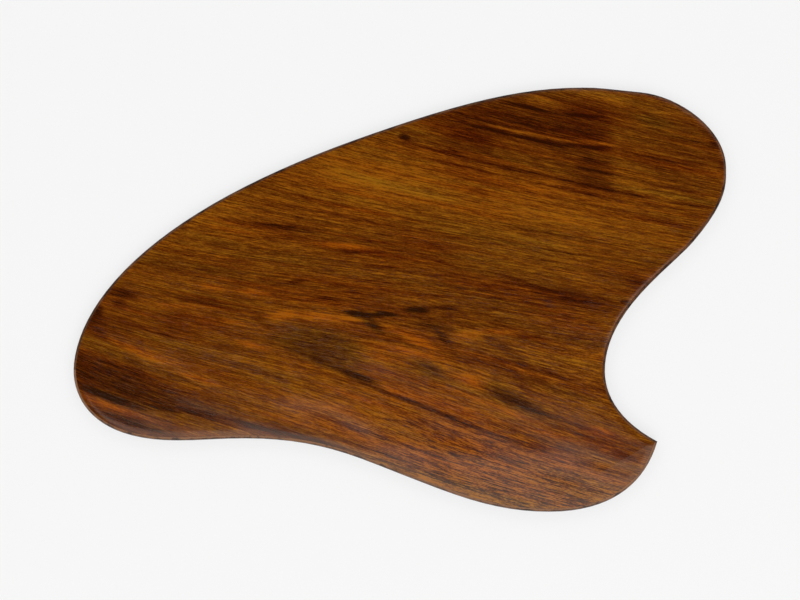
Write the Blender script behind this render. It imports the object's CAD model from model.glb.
import math

import bpy
from bpy.types import NodeSocket
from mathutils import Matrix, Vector


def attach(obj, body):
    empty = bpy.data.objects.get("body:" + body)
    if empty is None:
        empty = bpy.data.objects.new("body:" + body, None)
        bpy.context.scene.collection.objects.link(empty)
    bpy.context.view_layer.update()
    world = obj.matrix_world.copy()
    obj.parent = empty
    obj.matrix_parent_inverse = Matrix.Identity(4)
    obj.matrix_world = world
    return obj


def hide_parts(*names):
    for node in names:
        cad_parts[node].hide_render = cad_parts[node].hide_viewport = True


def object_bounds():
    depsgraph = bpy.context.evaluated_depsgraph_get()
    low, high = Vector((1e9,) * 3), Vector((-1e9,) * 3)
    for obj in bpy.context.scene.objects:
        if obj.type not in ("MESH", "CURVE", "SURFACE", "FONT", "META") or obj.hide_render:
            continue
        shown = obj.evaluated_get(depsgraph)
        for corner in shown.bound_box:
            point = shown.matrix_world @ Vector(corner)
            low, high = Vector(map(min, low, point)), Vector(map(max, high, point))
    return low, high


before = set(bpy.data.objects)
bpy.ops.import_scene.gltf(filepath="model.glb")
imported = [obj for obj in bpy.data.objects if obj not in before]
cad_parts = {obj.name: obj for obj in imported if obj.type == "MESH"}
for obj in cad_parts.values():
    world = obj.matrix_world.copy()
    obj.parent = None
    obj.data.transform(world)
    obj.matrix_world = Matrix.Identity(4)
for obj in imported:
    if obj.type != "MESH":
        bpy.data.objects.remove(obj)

cad_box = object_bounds()
MM = 0.001

# ---------------------------------------------------------------------------
# Face veneer: one leaf of flat-cut rosewood, 0.75 mm thick, pressed onto the
# core. Its rim is rubbed down with the edge strips, so the flat face rolls
# over softly in its last few millimetres. Satin lacquer over open pores.
# ---------------------------------------------------------------------------
# Each step of the rolled rim goes in by the first figure and up by the second.
RIM_STEPS = (
    (0.5 * MM, 0.085 * MM),
    (0.7 * MM, 0.080 * MM),
    (0.9 * MM, 0.055 * MM),
    (1.2 * MM, 0.030 * MM),
)
RIM_DROP = sum(rise for _, rise in RIM_STEPS)

# The leaf's figure, in millimetres of straightened grain: how far along the
# leaf from its middle and across it, half the mark's length and width, its
# turn in degrees, how much lighter or darker it is, and how much redder.
ZONES = (
    ("golden band", 30, 58, 160, 25, 0, 0.50, 0),
    ("golden glow", -24, 50, 42, 16, 0, 0.30, 0),
    ("golden crest", 40, 70, 64, 5, 0, 0.16, 0.3),
    ("olive gold", 58, 34, 60, 14, 0, 0.15, -0.2),
    ("crown gold", 106, 132, 24, 8, 0, 0.30, 0),
    ("nose", 146, 110, 34, 34, 0, -0.30, 0),
    ("red drift", 12, 27, 26, 6, -4, -0.45, 0.3),
    ("red drift's tail", -2, 20, 36, 8, 0, -0.28, 0.2),
    ("neck shade", 88, 11, 28, 9, -4, -0.42, 0.1),
    ("neck edge", 120, 25, 9, 15, 60, -0.75, 0.2),
    ("neck dusk", 106, 24, 20, 10, 0, -0.30, 0),
    ("sweep shoulder", -92, 22, 38, 16, 0, 0.26, 0),
    ("dusk line", -34, -3, 44, 5, 0, -0.32, 0.1),
    ("flame gap", 14, -17, 17, 5, -8, -0.65, -0.3),
    ("bay amber", 92, -19, 18, 6, 0, 0.36, 0),
    ("bay amber's tail", 60, -24, 52, 6, 0, 0.30, 0),
    ("lower amber", 14, -42, 66, 20, 0, 0.36, 0),
    ("olive smoke", -40, -40, 32, 15, 0, -0.65, -1.3),
    ("smoke's foot", -32, -50, 22, 7, 0, -0.30, -0.4),
    ("left shadow", -139, -31, 13, 9, 0, -1.20, 0),
    ("left dusk", -100, -23, 22, 6, 0, -0.34, 0),
    ("left smear", -141, -45, 5, 9, 0, -0.60, 0),
    ("amber pool", -124, -38, 15, 10, 0, 0.32, 0),
    ("left ember", -110, -52, 18, 8, 0, -0.50, 0.3),
    ("ember glow", -97, -40, 16, 8, 0, -0.06, 0.35),
    ("waist amber", -56, -68, 76, 15, 0, 0.34, 0),
    ("heel brown", -138, -89, 54, 12, 2, -1.10, -0.1),
    ("heel foot", -136, -105, 44, 8, 0, -0.80, 0.1),
    ("heel rim", -157, -66, 12, 12, 0, -0.80, 0.1),
    ("waist shade", -62, -88, 56, 5, 2, -0.65, 0.2),
    ("heel drift", -102, -89, 34, 6, 3, -0.40, -0.1),
    ("heel gold", -128, -70, 26, 8, 0, 0.25, 0),
    ("crown dusk", 98, 124, 30, 11, 0, -0.70, 0.3),
    ("nose dusk", 122, 103, 38, 8, 0, -0.55, 0.1),
    ("band shade", 36, 66, 34, 20, 0, -0.42, 0.2),
    ("sweep glow", -26, 40, 46, 13, 0, 0.20, 0),
    ("lower neck shade", 70, 8, 60, 16, 0, -0.32, 0.15),
    ("neck ember", 78, -4, 34, 8, 0, -0.05, 0.3),
    ("swirl dusk", 8, -13, 40, 8, 0, -0.20, 0),
    ("shoulder shade", -92, -22, 36, 12, 0, -0.24, 0),
    ("heel top", -143, -66, 28, 13, 0, -0.50, 0.1),
    ("heel end", -158, -96, 12, 18, 0, -0.40, 0.2),
    ("waist brown", -86, -66, 40, 10, 0, -0.24, 0),
    ("toe amber", -4, -67, 26, 9, 0, 0.34, -0.2),
    ("toe dusk", 30, -71, 30, 8, 0, -0.25, 0),
    ("toe glow", 56, -84, 46, 11, 0, 0.42, -0.2),
    ("bay dusk", 74, -52, 28, 12, 0, -0.34, 0.2),
    ("low dusk", 6, -43, 44, 9, 0, -0.34, 0),
    ("sweep edge", -46, 56, 18, 9, 0, -0.35, 0.1),
    ("low red", 10, -56, 130, 40, 0, 0.10, 0.30),
    ("tip red", 104, -40, 22, 10, 0, -0.10, 0.4),
)
# The mulberry field fades out at its right end, between two distances along.
MULBERRY = (
    (60, 105, 74, 23, 3, -1.02, 0.20),
    (92, 112, 24, 15, 0, -0.45, 0.20),
    (96, 86, 24, 17, 0, -0.75, 0.10),
    (34, 89, 26, 10, 0, -0.70, 0.25),
)
MULBERRY_END = (110, 103)
# Bright slivers that run with the grain.
FLAMES = (
    (64, 101.4, 36, 1.8, 3, 1.37, 0.1),
    (98, 105.4, 18, 1.8, 7, 1.10, 0.1),
    (60, 110.5, 26, 1.6, 3, 0.52, 0.2),
    (58, 93.5, 34, 1.8, 1, 0.59, 0),
    (130, 107.4, 28, 1.6, 1, 0.57, 0),
    (70, 121, 14, 3.5, 8, 0.77, 0),
    (136, 134, 17, 1.8, 12, 0.57, 0),
    (112, 85.2, 18, 1.4, 0, 0.57, 0),
    (132, 83, 26, 1.3, 2, 0.44, 0),
    (-52, 42, 18, 1.5, -5, 0.47, 0),
    (20, 37.5, 36, 1.3, 0, 0.34, 0),
    (80, 57.6, 62, 1.5, 1, 0.39, 0),
    (10, 49.5, 50, 1.3, 0, 0.29, 0),
    (-86, 17, 22, 1.8, 0, 0.41, 0.23),
    (-28, 18.4, 24, 2.6, 5, 0.84, 0.48),
    (50, 4.8, 48, 1.1, 2, 0.34, 0.33),
    (80, 1.6, 40, 1.1, 1, 0.34, 0.33),
    (-96, -10, 12, 3.4, 0, 0.55, 0.38),
    (-75, -9.6, 13, 2.5, 0, 0.60, 0.38),
    (-61, -24, 12, 5.9, 24, 0.87, 0.23),
    (-42, -20.4, 29, 4.2, 5, 1.01, 0.28),
    (-22, -19, 13, 2.9, 0, 0.58, 0.23),
    (-112, -31, 17, 4.2, 20, 0.59, 0.25),
    (-97, -27, 12, 4.2, 15, 0.49, 0.23),
    (-85, -35, 12, 4.2, 0, 0.44, 0.33),
    (-75, -51.5, 13, 3.4, 0, 0.67, 0.38),
    (7, -25.5, 23, 3.8, -17, 0.79, 0.33),
    (4, -31.2, 22, 3, -3, 0.62, 0.28),
    (32, -20, 14, 3.6, 12, 0.77, 0.33),
    (48, -15, 20, 3.2, 10, 0.55, 0.38),
    (36, -34.6, 12, 4.6, 14, 0.62, 0.38),
    (-14, -38, 16, 6.5, 0, 0.44, 0.23),
    (54, -41.5, 26, 3.1, 0, 0.44, 0.28),
    (74, -44, 26, 3.1, 3, 0.44, 0.38),
    (98, -34, 13, 3.9, 10, 0.49, 0.48),
    (-146, -101.4, 25, 3.6, 1, 0.72, 0.3),
    (-130, -73, 23, 3.6, 0, 0.55, 0.18),
    (-100, -75.6, 18, 3.1, 0, 0.61, 0.38),
    (-58, -81, 34, 2.5, 2, 0.52, 0.43),
    (-20, -61, 39, 2.1, 0, 0.35, 0.23),
)
# Dark lines between the growth rings.
STREAKS = (
    (64, 116, 20, 2, 1, -1.62, 0.1),
    (92, 119.6, 16, 1.8, 13, -1.37, 0.1),
    (44, 98, 26, 1.8, 0, -1.10, 0.1),
    (72, 98.9, 22, 1.9, 3, -1.23, 0.1),
    (95, 102.2, 18, 1.9, 8, -1.23, 0.1),
    (56, 105.5, 34, 1.2, 2, -0.75, 0.1),
    (134, 104.4, 28, 1.2, 0, -0.85, 0.1),
    (150, 101.6, 14, 1.2, 0, -0.47, 0.1),
    (128, 97, 26, 0.9, 0, -0.44, 0),
    (97, 94.6, 9, 3.2, 0, -0.59, 0.1),
    (98, 88.8, 18, 1.3, 0, -0.90, 0.1),
    (132, 88.4, 24, 0.9, 0, -0.52, 0),
    (40, 79.2, 64, 1.5, 0, -1.20, 0.15),
    (104, 79, 32, 1.7, 1, -1.25, 0.15),
    (146, 80.2, 17, 1.5, 5, -0.95, 0.1),
    (26, 74, 40, 1.5, 0, -1.15, 0.2),
    (88, 74.4, 40, 1.3, 0, -0.95, 0.15),
    (132, 76, 22, 1.3, 3, -0.80, 0),
    (18, 82.6, 22, 1.1, 0, -0.75, 0.2),
    (126, 66, 32, 1.3, 0, -0.80, 0.1),
    (60, 63.6, 40, 0.9, 0, -0.31, 0.1),
    (66, 46, 60, 1.0, 2, -0.50, 0),
    (30, 53.6, 60, 0.9, 1, -0.26, 0),
    (-14, 46.6, 44, 0.9, -1, -0.26, 0),
    (-20, 38.4, 54, 1.0, -2, -0.50, 0.1),
    (84, 37, 44, 1.0, 3, -0.50, 0),
    (130, 41, 17, 1.4, 5, -0.44, 0.1),
    (0, 33, 62, 1.0, -1, -0.28, 0.1),
    (98, 29, 26, 1.0, 2, -0.30, 0),
    (-62, 22.4, 30, 2.4, 4, -1.45, 0),
    (-92, 21.2, 12, 1.3, 0, -0.50, 0),
    (-20, 23.6, 28, 1.9, 1, -0.52, 0.3),
    (-24, 16.2, 18, 1.7, 8, -0.90, 0.2),
    (20, 18, 18, 1.6, -10, -0.55, 0.2),
    (-8, 10.6, 18, 1.5, 6, -0.60, 0.2),
    (22, 11, 15, 1.4, 10, -0.50, 0.1),
    (54, 16.4, 16, 1.5, -5, -0.70, 0.2),
    (72, 13.2, 16, 1.5, -8, -0.75, 0.2),
    (90, 10.6, 16, 1.8, 0, -0.75, 0.1),
    (62, 6.6, 48, 1.2, 1, -0.70, 0.2),
    (50, 3, 50, 1.2, 2, -0.75, 0.2),
    (38, 8.6, 32, 1.0, 3, -0.42, 0.2),
    (78, -1.4, 42, 1.2, 1, -0.70, 0.2),
    (88, -5.2, 26, 1.2, 1, -0.42, 0.2),
    (20, -1, 22, 1.4, 6, -0.60, 0.2),
    (-10, 2, 26, 1.1, 4, -0.42, 0.1),
    (-96, 4, 40, 1.0, -1, -0.34, 0.1),
    (-80, -2, 34, 1.0, -2, -0.32, 0.1),
    (-53, -3, 7, 2.2, 14, -0.85, 0),
    (-36, -9.6, 11, 1.7, 0, -0.70, 0.1),
    (-25, -5, 9, 1.5, 0, -0.55, 0.2),
    (-10, -15, 10, 2.2, 8, -1.10, -0.3),
    (22, -7, 14, 2.0, 12, -0.85, 0),
    (42, -4, 18, 1.5, 3, -0.60, 0.1),
    (65, -15.4, 12, 2.2, 0, -0.60, 0.2),
    (86, -11, 16, 1.4, 0, -0.48, 0.2),
    (62, -26.4, 34, 1.1, 0, -0.55, 0.1),
    (21, -23, 9, 3.0, -35, -0.90, -0.3),
    (13, -36.4, 14, 4.5, 0, -0.75, -0.7),
    (52, -22, 16, 3.0, -16, -0.75, -0.1),
    (56, -29, 14, 2.4, -18, -0.45, 0.1),
    (57, -35, 25, 4.0, 0, -1.15, -0.7),
    (88, -38.6, 14, 1.5, -2, -0.60, 0.2),
    (110, -43, 9, 2.6, 0, -0.95, 0),
    (-128, -25.6, 16, 1.6, 1, -0.62, 0.1),
    (-88, -20, 34, 1.3, -6, -0.42, 0.1),
    (-110, -41, 9, 3.2, 32, -0.45, 0.3),
    (-88, -56.6, 16, 1.6, 6, -0.50, 0.1),
    (-126, -60.6, 24, 1.7, 1, -0.66, 0.1),
    (-45, -48.6, 19, 2.0, -5, -0.66, -0.3),
    (-21, -52, 18, 3.2, -4, -1.30, -0.8),
    (14, -54.2, 36, 2.2, 0, -1.25, -0.4),
    (50, -54.6, 30, 2.0, 1, -1.05, -0.3),
    (76, -51, 15, 1.6, 10, -0.55, 0.2),
    (40, -47, 26, 1.1, 2, -0.30, 0),
    (-60, -64, 34, 1.3, 0, -0.36, 0),
    (20, -62, 40, 1.2, 2, -0.34, 0.1),
    (40, -71, 30, 1.8, 2, -0.40, 0),
    (-20, -75, 26, 1.6, 1, -0.40, -0.1),
    (-136, -81.4, 24, 2.2, 0, -0.50, 0.1),
    (-145, -97, 25, 2.8, 1, -1.90, -0.5),
    (-118, -94, 15, 2.0, 8, -1.00, -0.1),
    (-98, -90.6, 17, 2.4, 4, -0.75, 0),
    (-68, -88.4, 26, 2.4, 3, -1.10, 0),
    (-38, -86.6, 26, 2.4, 1, -1.30, -0.2),
    (-128, -104.6, 28, 3.0, 2, -0.45, -0.3),
    (34, -84, 54, 1.8, 1, -0.90, -0.2),
    (92, -62, 20, 1.8, 14, -0.40, 0.1),
)
# Short dark smears and spots round small knots.
KNOTS = (
    (1, 82, 4.2, 3.0, 0, -1.7, 0),
    (26, 81, 6, 2.0, 0, -0.8, 0.2),
    (-22, -16.4, 10, 3.4, -4, -1.9, -1.2),
    (-10, -15.2, 12, 2.2, 4, -1.0, -0.9),
    (-15, -21, 9, 4.2, -35, -1.2, -0.9),
    (7, -10.6, 9, 2.6, 8, -1.5, -0.9),
    (112, 14, 4, 2.6, 0, -1.2, 0),
    (158, 123, 5, 6, 0, -0.8, 0.2),
    (161, 109, 3, 5, 0, -0.6, 0.2),
    (127, 126, 13, 6, 0, -0.25, -0.6),
    (-152, -56, 4, 9, 0, -1.1, 0),
)


def link_or_set(tree, socket, value):
    if isinstance(value, NodeSocket):
        tree.links.new(value, socket)
    else:
        socket.default_value = value


def calculate(tree, operation, *values):
    node = tree.nodes.new("ShaderNodeMath")
    node.operation = operation
    for socket, value in zip(node.inputs, values):
        link_or_set(tree, socket, value)
    return node.outputs[0]


def ease(tree, value, low, high):
    """0 below low, 1 above high, and a smooth step between them."""
    node = tree.nodes.new("ShaderNodeMapRange")
    node.interpolation_type = "SMOOTHSTEP"
    link_or_set(tree, node.inputs["Value"], value)
    node.inputs["From Min"].default_value = low
    node.inputs["From Max"].default_value = high
    return node.outputs["Result"]


def noise(tree, vector, along, across, detail=2.0, roughness=0.5, shift=0.0):
    """Noise from -0.5 to 0.5 whose grains are along x across millimetres."""
    mapping = tree.nodes.new("ShaderNodeMapping")
    tree.links.new(vector, mapping.inputs["Vector"])
    mapping.inputs["Location"].default_value = (shift, shift * 1.7, shift * 0.6)
    mapping.inputs["Scale"].default_value = (1 / along, 1 / across, 1 / across)
    texture = tree.nodes.new("ShaderNodeTexNoise")
    tree.links.new(mapping.outputs["Vector"], texture.inputs["Vector"])
    texture.inputs["Scale"].default_value = 1.0
    texture.inputs["Detail"].default_value = detail
    texture.inputs["Roughness"].default_value = roughness
    return calculate(tree, "SUBTRACT", texture.outputs["Fac"], 0.5)


def mark(tree, vector, along, across, half_length, half_width, turn):
    """A soft-edged ellipse: 1 at its middle and 0 outside."""
    mapping = tree.nodes.new("ShaderNodeMapping")
    mapping.vector_type = "TEXTURE"
    tree.links.new(vector, mapping.inputs["Vector"])
    mapping.inputs["Location"].default_value = (along, across, 0)
    mapping.inputs["Rotation"].default_value = (0, 0, math.radians(turn))
    mapping.inputs["Scale"].default_value = (half_length, half_width, 1)
    sphere = tree.nodes.new("ShaderNodeTexGradient")
    sphere.gradient_type = "SPHERICAL"
    tree.links.new(mapping.outputs["Vector"], sphere.inputs["Vector"])
    return ease(tree, sphere.outputs["Fac"], 0.0, 0.9)


def combine(tree, x, y):
    node = tree.nodes.new("ShaderNodeCombineXYZ")
    link_or_set(tree, node.inputs["X"], x)
    link_or_set(tree, node.inputs["Y"], y)
    return node.outputs[0]


# The lie of the grain, in millimetres. For each millimetre to the right it
# falls by UPPER_FALL, by FORK_FALL more below the fork line, and by CROWN_FALL
# more with each millimetre up the leaf.
LEAF_SHIFT = 1.2
FORK_LINE_SLOPE = -0.2
FORK_LINE_HEIGHT = -27.0
UPPER_FALL = 0.163
FORK_FALL = 0.268
CROWN_FALL = 0.00138
SWELLING_X, SWELLING_Y = -76.0, -18.5
SWELLING_LENGTH, SWELLING_WIDTH = 124.0, 53.5
SWELLING_LIFT = 0.121


def straightened_grain(tree, blend):
    """The place on the leaf in millimetres: along the grain, and across it.

    The grain falls to the right. It falls faster below a line through the
    waist, where the leaf passes under the fork of the tree, and it lies
    almost level in a swelling above that line. The change is spread over
    blend millimetres each side of the line.
    """
    place = tree.nodes.new("ShaderNodeTexCoord").outputs["Object"]
    split = tree.nodes.new("ShaderNodeSeparateXYZ")
    tree.links.new(place, split.inputs[0])
    x = calculate(tree, "MULTIPLY", split.outputs["X"], 1 / MM)
    y = calculate(tree, "MULTIPLY_ADD", split.outputs["Y"], 1 / MM, LEAF_SHIFT)

    fork_line = calculate(tree, "MULTIPLY_ADD", x, FORK_LINE_SLOPE, FORK_LINE_HEIGHT)
    below = ease(tree, calculate(tree, "SUBTRACT", fork_line, y), -blend, blend)
    fall = calculate(tree, "MULTIPLY_ADD", below, FORK_FALL, UPPER_FALL)
    fall = calculate(tree, "MULTIPLY_ADD", y, CROWN_FALL, fall)

    from_swelling = calculate(tree, "SUBTRACT", x, SWELLING_X)
    far_x = calculate(tree, "DIVIDE", from_swelling, SWELLING_LENGTH)
    far_y = calculate(tree, "DIVIDE", calculate(tree, "SUBTRACT", y, SWELLING_Y), SWELLING_WIDTH)
    far = calculate(tree, "MULTIPLY_ADD", far_y, far_y, calculate(tree, "POWER", far_x, 2.0))
    swelling = calculate(tree, "EXPONENT", calculate(tree, "MULTIPLY", far, -1.0))
    lift = calculate(tree, "MULTIPLY", from_swelling, swelling)

    across = calculate(tree, "MULTIPLY_ADD", x, fall, y)
    across = calculate(tree, "MULTIPLY_ADD", lift, -SWELLING_LIFT, across)
    return combine(tree, x, across)


def ramp(tree, value, colours):
    node = tree.nodes.new("ShaderNodeValToRGB")
    tree.links.new(value, node.inputs["Fac"])
    stops = node.color_ramp.elements
    while len(stops) < len(colours):
        stops.new(0.5)
    for stop, (place, colour) in zip(stops, colours):
        stop.position = place
        stop.color = (*colour, 1.0)
    return node.outputs["Color"]


def mix_colours(tree, share, first, second):
    node = tree.nodes.new("ShaderNodeMix")
    node.data_type = "RGBA"
    link_or_set(tree, node.inputs["Factor"], share)
    link_or_set(tree, node.inputs["A"], first)
    link_or_set(tree, node.inputs["B"], second)
    return node.outputs["Result"]


def bump(tree, height, depth, under=None):
    node = tree.nodes.new("ShaderNodeBump")
    node.inputs["Distance"].default_value = depth
    tree.links.new(height, node.inputs["Height"])
    if under:
        tree.links.new(under, node.inputs["Normal"])
    return node.outputs["Normal"]


def new_material(name):
    material = bpy.data.materials.new(name)
    material.use_nodes = True
    return material, material.node_tree, material.node_tree.nodes["Principled BSDF"]


# The wood's colours from its darkest to its lightest, where it is plain, and
# how far each channel moves where it is olive and where it is red.
PLAIN = (
    (0.00, (0.0260, 0.0050, 0.0006)),
    (0.25, (0.0610, 0.0112, 0.0009)),
    (0.40, (0.0880, 0.0189, 0.0013)),
    (0.60, (0.1320, 0.0348, 0.0026)),
    (0.76, (0.1860, 0.0545, 0.0038)),
    (0.93, (0.2640, 0.0850, 0.0045)),
    (1.00, (0.3120, 0.1040, 0.0055)),
)
OLIVE = (0.95, 1.18, 1.1)
RED = (1.09, 0.78, 0.45)
MIDDLE_SHADE = 0.62
SHADE_PER_TONE = 0.4
BASE_REDNESS = 0.48
# How far the ends and the sides of the marks wander along and across the grain.
RAGGED_ALONG = 7.0
RAGGED_ACROSS = 1.3
# Growth rings, fibres and mottle: how long and how wide each layer's grains
# are in millimetres, its detail, its seed, and how strongly it shows.
FINE_GRAIN = (
    (150, 1.5, 4, 31, 1.7),
    (60, 0.55, 2, 37, 1.5),
    (6, 0.35, 1, 41, 3.2),
    (1.4, 0.5, 1, 43, 1.4),
    (18, 4.0, 3, 47, 0.8),
)
PORE_LENGTH = 7
PORE_WIDTH = 0.42
# All of it is up to three times as strong towards the toe.
COARSE_TOE = (66, -84, 116, 44, 0)
LACQUER_TINT = (1.0, 0.82, 0.70, 1)


def shifted(colours, factors):
    return [(place, tuple(c * f for c, f in zip(colour, factors))) for place, colour in colours]


def open_pores(tree, grain, length, shift):
    return ease(tree, noise(tree, grain, length, PORE_WIDTH, 1, shift=shift), 0.06, 0.26)


def rosewood_face():
    material, tree, surface = new_material("figured rosewood, satin lacquer")
    grain = straightened_grain(tree, 40.0)

    # The marks have ragged ends, because neighbouring fibres run on unevenly.
    ragged = tree.nodes.new("ShaderNodeVectorMath")
    ragged.operation = "ADD"
    tree.links.new(straightened_grain(tree, 18.0), ragged.inputs[0])
    tree.links.new(
        combine(
            tree,
            calculate(tree, "MULTIPLY", noise(tree, grain, 20, 2.0, 3), RAGGED_ALONG),
            calculate(tree, "MULTIPLY", noise(tree, grain, 30, 7, 3, shift=5), RAGGED_ACROSS),
        ),
        ragged.inputs[1],
    )
    figure = ragged.outputs[0]

    # Tone is how light the wood is, and redness turns it from olive to red.
    bands = noise(tree, grain, 190, 7, 2, shift=11)
    warm_bands = noise(tree, grain, 120, 9, 2, shift=23)
    warm_threads = noise(tree, grain, 40, 2.2, 3, shift=71)
    tone = calculate(tree, "MULTIPLY", bands, 0.55)
    redness = calculate(tree, "MULTIPLY_ADD", warm_bands, 1.2, BASE_REDNESS)
    redness = calculate(tree, "ADD", warm_threads, redness)

    split = tree.nodes.new("ShaderNodeSeparateXYZ")
    tree.links.new(figure, split.inputs[0])
    before_end = ease(tree, split.outputs["X"], *MULBERRY_END)
    for along, across, half_length, half_width, turn, lighter, redder in MULBERRY:
        here = mark(tree, figure, along, across, half_length, half_width, turn)
        here = calculate(tree, "MULTIPLY", here, before_end)
        tone = calculate(tree, "MULTIPLY_ADD", here, lighter, tone)
        redness = calculate(tree, "MULTIPLY_ADD", here, redder, redness)
    marks = [zone[1:] for zone in ZONES] + [*FLAMES, *STREAKS, *KNOTS]
    for along, across, half_length, half_width, turn, lighter, redder in marks:
        here = mark(tree, figure, along, across, half_length, half_width, turn)
        tone = calculate(tree, "MULTIPLY_ADD", here, lighter, tone)
        if redder:
            redness = calculate(tree, "MULTIPLY_ADD", here, redder, redness)

    # The open pores are short dark dashes.
    pores = open_pores(tree, grain, PORE_LENGTH, 53)
    fine = calculate(tree, "MULTIPLY", pores, -0.45)
    for along, across, detail, shift, strength in FINE_GRAIN:
        layer = noise(tree, grain, along, across, detail, 0.55, shift)
        fine = calculate(tree, "MULTIPLY_ADD", layer, strength, fine)
    coarser = calculate(tree, "MULTIPLY_ADD", mark(tree, grain, *COARSE_TOE), 2.0, 1.0)
    tone = calculate(tree, "MULTIPLY_ADD", fine, coarser, tone)

    shade = calculate(tree, "MULTIPLY_ADD", tone, SHADE_PER_TONE, MIDDLE_SHADE)
    colour = mix_colours(
        tree,
        redness,
        ramp(tree, shade, shifted(PLAIN, OLIVE)),
        ramp(tree, shade, shifted(PLAIN, RED)),
    )
    tree.links.new(colour, surface.inputs["Base Color"])

    # The lacquer sinks into the pores, and lies in very shallow waves.
    roughness = calculate(tree, "MULTIPLY_ADD", pores, 0.05, 0.13)
    tree.links.new(roughness, surface.inputs["Roughness"])
    waves = bump(tree, noise(tree, grain, 46, 22, 1, shift=61), 0.7 * MM)
    dents = bump(tree, calculate(tree, "MULTIPLY", pores, -1.0), 0.010 * MM, waves)
    tree.links.new(dents, surface.inputs["Normal"])
    surface.inputs["IOR"].default_value = 1.55
    surface.inputs["Specular Tint"].default_value = LACQUER_TINT
    return material


def select_only(piece):
    bpy.ops.object.select_all(action="DESELECT")
    piece.select_set(True)
    bpy.context.view_layer.objects.active = piece


def edit(piece, element="FACE"):
    select_only(piece)
    bpy.ops.object.mode_set(mode="EDIT")
    bpy.ops.mesh.select_mode(type=element)
    bpy.ops.mesh.select_all(action="DESELECT")
    bpy.ops.object.mode_set(mode="OBJECT")


def merged_copy(node, name):
    """The piece's shape as the frame has it, with its triangles joined."""
    piece = bpy.data.objects.new(name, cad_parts[node].data.copy())
    bpy.context.scene.collection.objects.link(piece)
    piece.data.materials.clear()
    select_only(piece)
    bpy.ops.object.mode_set(mode="EDIT")
    bpy.ops.mesh.select_all(action="SELECT")
    bpy.ops.mesh.remove_doubles(threshold=0.001 * MM)
    bpy.ops.mesh.select_all(action="DESELECT")
    bpy.ops.object.mode_set(mode="OBJECT")
    return piece


def select_faces(piece, wanted):
    edit(piece)
    for face in piece.data.polygons:
        face.select = wanted(face)
    bpy.ops.object.mode_set(mode="EDIT")


face = merged_copy("face_veneer", "face_leaf")
select_faces(face, lambda polygon: polygon.normal.z > 0.9)
bpy.ops.mesh.dissolve_faces()
bpy.ops.transform.translate(value=(0, 0, -RIM_DROP))
for step_in, step_up in RIM_STEPS:
    bpy.ops.mesh.inset(thickness=step_in, depth=step_up)
bpy.ops.object.mode_set(mode="OBJECT")
bpy.ops.object.shade_smooth_by_angle(angle=math.radians(30))
face.data.materials.append(rosewood_face())
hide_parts("face_veneer")
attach(face, "root")


# ---------------------------------------------------------------------------
# Edge strips: five lengths of rosewood, 1.5 mm thick, steamed, bent round the
# sawn edge and glued. They are stained nearly black, and their outer arrises
# are rubbed round, so that they carry on the roll of the face's rim.
# ---------------------------------------------------------------------------
LIPPINGS = ("sweep_lipping", "heel_lipping", "toe_lipping", "bay_lipping", "nose_lipping")
# The strips on the near side, where the hand holds the board, are worn.
WORN_LIPPINGS = ("heel_lipping", "toe_lipping")
# Each level of the strips' upper arris, and how far it is rubbed down, in
# millimetres.
ARRIS_LEVELS = (
    (6.500, 0.270),
    (6.405, 0.320),
    (6.134, 0.390),
    (5.728, 0.430),
    (5.250, 0.450),
)
# Where the stain is rubbed thin and where it is rubbed through, as heights in
# millimetres, and how far worn patches shift them.
RUBBED_FROM = 4.8
RUBBED_THROUGH = 6.2
PATCH_SHIFT = 4.0


def select_points(piece, wanted):
    edit(piece, "VERT")
    for point in piece.data.vertices:
        point.select = wanted(point.co)
    bpy.ops.object.mode_set(mode="EDIT")


def board_millimetres(tree, turn=0):
    """The place on the board in millimetres, turned so the grain runs along X."""
    place = tree.nodes.new("ShaderNodeTexCoord").outputs["Object"]
    mapping = tree.nodes.new("ShaderNodeMapping")
    mapping.inputs["Rotation"].default_value = (0, 0, math.radians(turn))
    mapping.inputs["Scale"].default_value = (1 / MM, 1 / MM, 1 / MM)
    tree.links.new(place, mapping.inputs["Vector"])
    return mapping.outputs["Vector"]


def stained_edge(name, wear, gloss):
    """Stained rosewood, rubbed back to the bare wood where wear is high."""
    material, tree, surface = new_material(name)
    place = board_millimetres(tree)
    split = tree.nodes.new("ShaderNodeSeparateXYZ")
    tree.links.new(place, split.inputs[0])

    # The fibres lie along the strip, so they vary quickly only with height.
    mapping = tree.nodes.new("ShaderNodeMapping")
    mapping.inputs["Scale"].default_value = (1 / 9, 1 / 9, 1 / 0.3)
    tree.links.new(place, mapping.inputs["Vector"])
    fibres = noise(tree, mapping.outputs["Vector"], 1, 1, 3, 0.6)

    # The stain is rubbed through on the arris, and more in some places.
    worn = noise(tree, place, 5, 5, 3, 0.7, 7)
    level = calculate(tree, "MULTIPLY_ADD", worn, PATCH_SHIFT, split.outputs["Z"])
    rubbed = ease(tree, level, RUBBED_FROM, RUBBED_THROUGH)
    shade = calculate(tree, "MULTIPLY_ADD", fibres, 0.8, 0.25)
    shade = calculate(tree, "MULTIPLY_ADD", rubbed, wear, shade)
    colour = ramp(
        tree,
        shade,
        [
            (0.0, (0.005, 0.002, 0.001)),
            (0.4, (0.014, 0.005, 0.002)),
            (0.7, (0.060, 0.020, 0.007)),
            (1.0, (0.200, 0.082, 0.030)),
        ],
    )
    tree.links.new(colour, surface.inputs["Base Color"])
    roughness = calculate(tree, "MULTIPLY_ADD", fibres, 0.3, 0.30)
    tree.links.new(roughness, surface.inputs["Roughness"])
    tree.links.new(bump(tree, fibres, 0.03 * MM), surface.inputs["Normal"])
    surface.inputs["Specular IOR Level"].default_value = gloss
    surface.inputs["Specular Tint"].default_value = LACQUER_TINT
    return material


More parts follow.
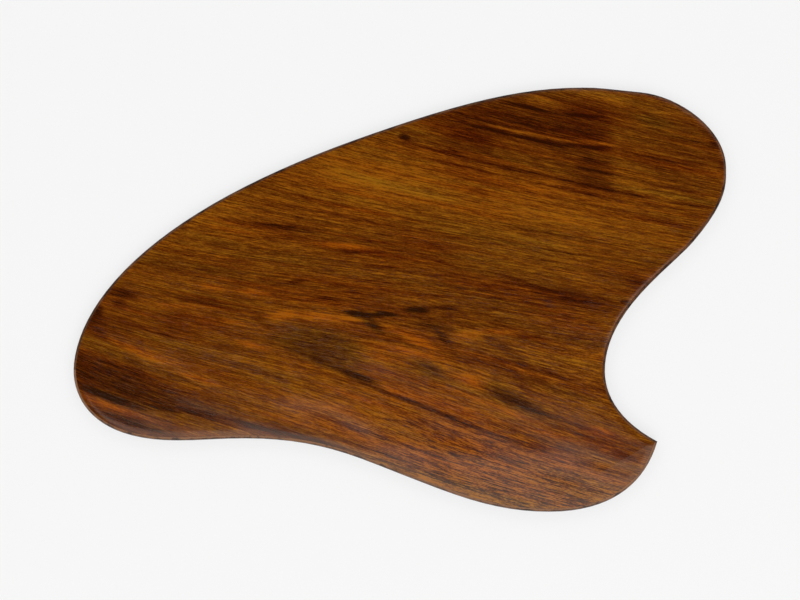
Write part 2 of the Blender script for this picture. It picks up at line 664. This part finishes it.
dark_edge = stained_edge("dark-stained rosewood edge", wear=0.55, gloss=0.12)
worn_edge = stained_edge("rubbed rosewood edge", wear=0.75, gloss=0.6)
for name in LIPPINGS:
    strip = merged_copy(name, name.replace("lipping", "edge_strip"))
    for height, rubbed_down in ARRIS_LEVELS:
        select_points(strip, lambda point: abs(point.z / MM - height) < 0.01)
        bpy.ops.transform.translate(value=(0, 0, -rubbed_down * MM))
        bpy.ops.object.mode_set(mode="OBJECT")
    bpy.ops.object.shade_smooth_by_angle(angle=math.radians(40))
    strip.data.materials.append(worn_edge if name in WORN_LIPPINGS else dark_edge)
    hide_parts(name)
    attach(strip, "root")


# ---------------------------------------------------------------------------
# Backing veneer: one leaf of plain, straight-grained rosewood, 0.75 mm thick,
# glued under the core so that the board stays flat. Thinly lacquered.
# ---------------------------------------------------------------------------
def give_finish(node, material):
    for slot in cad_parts[node].material_slots:
        slot.material = material


def plain_rosewood():
    material, tree, surface = new_material("plain rosewood, thin lacquer")
    grain = board_millimetres(tree, 3)
    bands = noise(tree, grain, 260, 6, 3, 0.6, 3)
    fibres = noise(tree, grain, 40, 0.8, 3, 0.6, 13)
    pores = open_pores(tree, grain, 8, 29)
    tone = calculate(tree, "MULTIPLY_ADD", bands, 1.5, 0.5)
    tone = calculate(tree, "MULTIPLY_ADD", fibres, 0.6, tone)
    tone = calculate(tree, "MULTIPLY_ADD", pores, -0.25, tone)
    colour = ramp(
        tree,
        tone,
        [
            (0.00, (0.030, 0.007, 0.002)),
            (0.35, (0.070, 0.019, 0.005)),
            (0.65, (0.125, 0.040, 0.009)),
            (1.00, (0.210, 0.080, 0.019)),
        ],
    )
    tree.links.new(colour, surface.inputs["Base Color"])
    roughness = calculate(tree, "MULTIPLY_ADD", pores, 0.3, 0.36)
    tree.links.new(roughness, surface.inputs["Roughness"])
    dents = bump(tree, calculate(tree, "MULTIPLY", pores, -1.0), 0.03 * MM)
    tree.links.new(dents, surface.inputs["Normal"])
    return material


give_finish("back_veneer", plain_rosewood())


# ---------------------------------------------------------------------------
# Core: five beech plies, 1 mm each, cold-pressed with the grain turned a
# quarter from each to the next. Bare wood, sealed in by the pieces round it.
# ---------------------------------------------------------------------------
def bare_beech(name, turn, shade):
    material, tree, surface = new_material(name)
    grain = board_millimetres(tree, turn)
    bands = noise(tree, grain, 180, 9, 2, 0.5, 17)
    flecks = ease(tree, noise(tree, grain, 3, 0.5, 1, shift=19), 0.10, 0.24)
    tone = calculate(tree, "MULTIPLY_ADD", bands, 1.2, shade)
    tone = calculate(tree, "MULTIPLY_ADD", flecks, -0.3, tone)
    colour = ramp(
        tree,
        tone,
        [
            (0.0, (0.26, 0.12, 0.045)),
            (0.5, (0.40, 0.21, 0.085)),
            (1.0, (0.56, 0.34, 0.15)),
        ],
    )
    tree.links.new(colour, surface.inputs["Base Color"])
    tree.links.new(bump(tree, tone, 0.02 * MM), surface.inputs["Normal"])
    surface.inputs["Roughness"].default_value = 0.75
    return material


long_ply = bare_beech("bare beech, grain along", 0, 0.6)
cross_ply = bare_beech("bare beech, grain across", 90, 0.4)
for number in (1, 3, 5):
    give_finish(f"core_ply_{number}", cross_ply)
for number in (2, 4):
    give_finish(f"core_ply_{number}", long_ply)


# ---------------------------------------------------------------------------
# Stage: a pale floor that glows a little, so that the board's shadow stays
# faint, one large soft box above it, surroundings that are lit all round and
# dark overhead, and a camera almost straight above the board.
# ---------------------------------------------------------------------------
FLOOR_SIZE = 6.0
FLOOR_COLOUR = (0.22, 0.22, 0.22, 1)
FLOOR_GLOW = 0.695

low, high = (Vector(corner) for corner in cad_box)
middle = (low + high) / 2

bpy.ops.mesh.primitive_plane_add(size=FLOOR_SIZE, location=(0, 0, low.z))
floor = bpy.context.active_object
floor.name = "floor"
paper, tree, surface = new_material("pale floor")
surface.inputs["Base Color"].default_value = FLOOR_COLOUR
surface.inputs["Roughness"].default_value = 0.9
surface.inputs["Emission Color"].default_value = (1, 1, 1, 1)
surface.inputs["Emission Strength"].default_value = FLOOR_GLOW
floor.data.materials.append(paper)

# The soft box hangs on the near side and to the right, with its far side short
# of the point straight above, so only the lower part of the face reflects it.
KEY_PLACE = (0.30, -1.15, 2.0)
KEY_TURN = math.radians(2)
KEY_LENGTH = 2.3
KEY_WIDTH = 2.0
KEY_WATTS = 22
bpy.ops.object.light_add(type="AREA", location=KEY_PLACE, rotation=(0, 0, KEY_TURN))
key = bpy.context.active_object
key.data.shape = "RECTANGLE"
key.data.size = KEY_LENGTH
key.data.size_y = KEY_WIDTH
key.data.energy = KEY_WATTS

# The surroundings are lit from the horizon up, brightest in a ring, and dark
# overhead, so that the face doesn't reflect them. Each height is the sine of
# an angle above the horizon.
HORIZON_LIGHT = 0.60
RING_LIGHT = 0.87
RING_STARTS, RING_FULL = 0.35, 0.60
DARK_STARTS, DARK_FULL = 0.72, 0.86
world = bpy.data.worlds.new("studio")
bpy.context.scene.world = world
world.use_nodes = True
tree = world.node_tree
sky = tree.nodes["Background"]
direction = tree.nodes.new("ShaderNodeTexCoord")
split = tree.nodes.new("ShaderNodeSeparateXYZ")
tree.links.new(direction.outputs["Generated"], split.inputs[0])
ring = ease(tree, split.outputs["Z"], RING_STARTS, RING_FULL)
overhead = ease(tree, split.outputs["Z"], DARK_STARTS, DARK_FULL)
around = calculate(tree, "MULTIPLY_ADD", ring, RING_LIGHT, HORIZON_LIGHT)
around = calculate(tree, "MULTIPLY", around, calculate(tree, "SUBTRACT", 1.0, overhead))
sky.inputs["Color"].default_value = (1, 1, 1, 1)
tree.links.new(around, sky.inputs["Strength"])

ELEVATION = math.radians(85)
DISTANCE = 0.665
AIM_LEFT = 1.0 * MM
AIM_NEARER = 1.8 * MM
bpy.ops.object.camera_add()
camera = bpy.context.active_object
camera.data.lens = 60
camera.data.sensor_width = 36
towards_camera = Vector((0, -math.cos(ELEVATION), math.sin(ELEVATION)))
aim = Vector((middle.x - AIM_LEFT, middle.y - AIM_NEARER, high.z))
camera.location = aim + towards_camera * DISTANCE
camera.rotation_euler = (math.radians(90) - ELEVATION, 0, 0)
bpy.context.scene.camera = camera
bpy.context.scene.view_settings.view_transform = "Standard"
